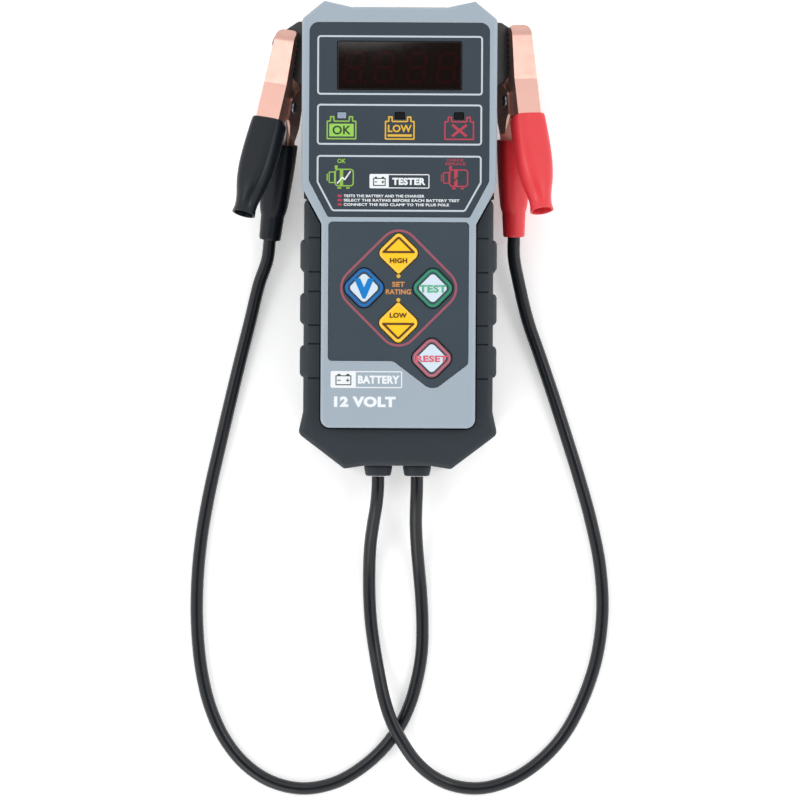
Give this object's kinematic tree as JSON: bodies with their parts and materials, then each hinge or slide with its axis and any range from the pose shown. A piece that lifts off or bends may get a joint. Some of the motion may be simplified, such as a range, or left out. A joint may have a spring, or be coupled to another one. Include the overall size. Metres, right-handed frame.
{
  "type": "battery tester",
  "caption": "Handheld 12 V battery tester with a display, status lamps, a five-key pad and two parked clamp leads.",
  "frame": {"origin": "on the back of the grip, on the centre line, below the join of the two front panels", "axes": "+X to the right of someone reading the display, +Y along the body towards the display, +Z out of the front face"},
  "size_m": [0.1857, 0.3462, 0.0497],
  "materials": {
    "black_plastic": "matt",
    "black_rubber": "matt",
    "black_sleeve": "satin",
    "black_wire": "satin",
    "blue_key": "satin",
    "board": "satin",
    "brass": "satin",
    "ceramic": "matt",
    "clear_plastic": "gloss",
    "copper": "polished",
    "green_key": "satin",
    "grey_plastic": "satin",
    "label_film": "satin",
    "lead_rubber": "satin",
    "part_plastic": "satin",
    "red_key": "satin",
    "red_sleeve": "satin",
    "red_wire": "satin",
    "steel": "brushed",
    "window_plastic": "gloss",
    "yellow_key": "satin"
  },
  "bodies": {
    "tester": {"front_shell": "grey_plastic", "rear_shell": "black_plastic", "grip_boot": "black_rubber", "upper_label": "label_film", "keypad_label": "label_film", "display_window": "window_plastic", "display_module": "part_plastic", "main_board": "board", "microcontroller": "part_plastic", "buzzer": "part_plastic", "load_resistor": "ceramic", "power_transistor": "part_plastic", "high_switch": "part_plastic", "low_switch": "part_plastic", "volt_switch": "part_plastic", "test_switch": "part_plastic", "reset_switch": "part_plastic", "good_led": "clear_plastic", "good_light_pipe": "clear_plastic", "weak_led": "clear_plastic", "weak_light_pipe": "clear_plastic", "bad_led": "clear_plastic", "bad_light_pipe": "clear_plastic", "charge_good_led": "clear_plastic", "charge_bad_led": "clear_plastic", "housing_screw_1": "steel", "housing_screw_2": "steel", "housing_screw_3": "steel", "housing_screw_4": "steel", "red_terminal": "brass", "red_inner_wire": "red_wire", "red_strain_relief": "black_rubber", "red_lead": "lead_rubber", "black_terminal": "brass", "black_inner_wire": "black_wire", "black_strain_relief": "black_rubber", "black_lead": "lead_rubber", "red_rear_jaw": "copper", "red_rivet": "steel", "red_spring": "steel", "red_rear_sleeve": "red_sleeve", "black_rear_jaw": "copper", "black_rivet": "steel", "black_spring": "steel", "black_rear_sleeve": "black_sleeve"},
    "high_button": {"high_key": "yellow_key", "high_plunger": "part_plastic"},
    "low_button": {"low_key": "yellow_key", "low_plunger": "part_plastic"},
    "volt_button": {"volt_key": "blue_key", "volt_plunger": "part_plastic"},
    "test_button": {"test_key": "green_key", "test_plunger": "part_plastic"},
    "reset_button": {"reset_key": "red_key", "reset_plunger": "part_plastic"},
    "red_front_arm": {"red_front_jaw": "copper", "red_front_sleeve": "red_sleeve"},
    "black_front_arm": {"black_front_jaw": "copper", "black_front_sleeve": "black_sleeve"}
  },
  "joints": [
    {"name": "high_press", "type": "slide", "parent": "tester", "child": "high_button", "axis": [0, 0, -1], "range_m": [0, 0.0005], "stiffness_N_per_m": 3000, "springref_m": -0.0002},
    {"name": "low_press", "type": "slide", "parent": "tester", "child": "low_button", "axis": [0, 0, -1], "range_m": [0, 0.0005], "stiffness_N_per_m": 3000, "springref_m": -0.0002},
    {"name": "volt_press", "type": "slide", "parent": "tester", "child": "volt_button", "axis": [0, 0, -1], "range_m": [0, 0.0005], "stiffness_N_per_m": 3000, "springref_m": -0.0002},
    {"name": "test_press", "type": "slide", "parent": "tester", "child": "test_button", "axis": [0, 0, -1], "range_m": [0, 0.0005], "stiffness_N_per_m": 3000, "springref_m": -0.0002},
    {"name": "reset_press", "type": "slide", "parent": "tester", "child": "reset_button", "axis": [0, 0, -1], "range_m": [0, 0.0005], "stiffness_N_per_m": 3000, "springref_m": -0.0002},
    {"name": "red_clamp_open", "type": "hinge", "parent": "tester", "child": "red_front_arm", "pos_m": [0.052, 0.0595, 0.026], "axis": [0.9493, 0.061, -0.3084], "range_deg": [0, 20], "stiffness_Nm_per_rad": 0.6, "springref_deg": -34.38, "deforming": ["red_spring"]},
    {"name": "black_clamp_open", "type": "hinge", "parent": "tester", "child": "black_front_arm", "pos_m": [-0.052, 0.057, 0.026], "axis": [0.9366, -0.1736, 0.3043], "range_deg": [0, 20], "stiffness_Nm_per_rad": 0.6, "springref_deg": -34.38, "deforming": ["black_spring"]}
  ]
}
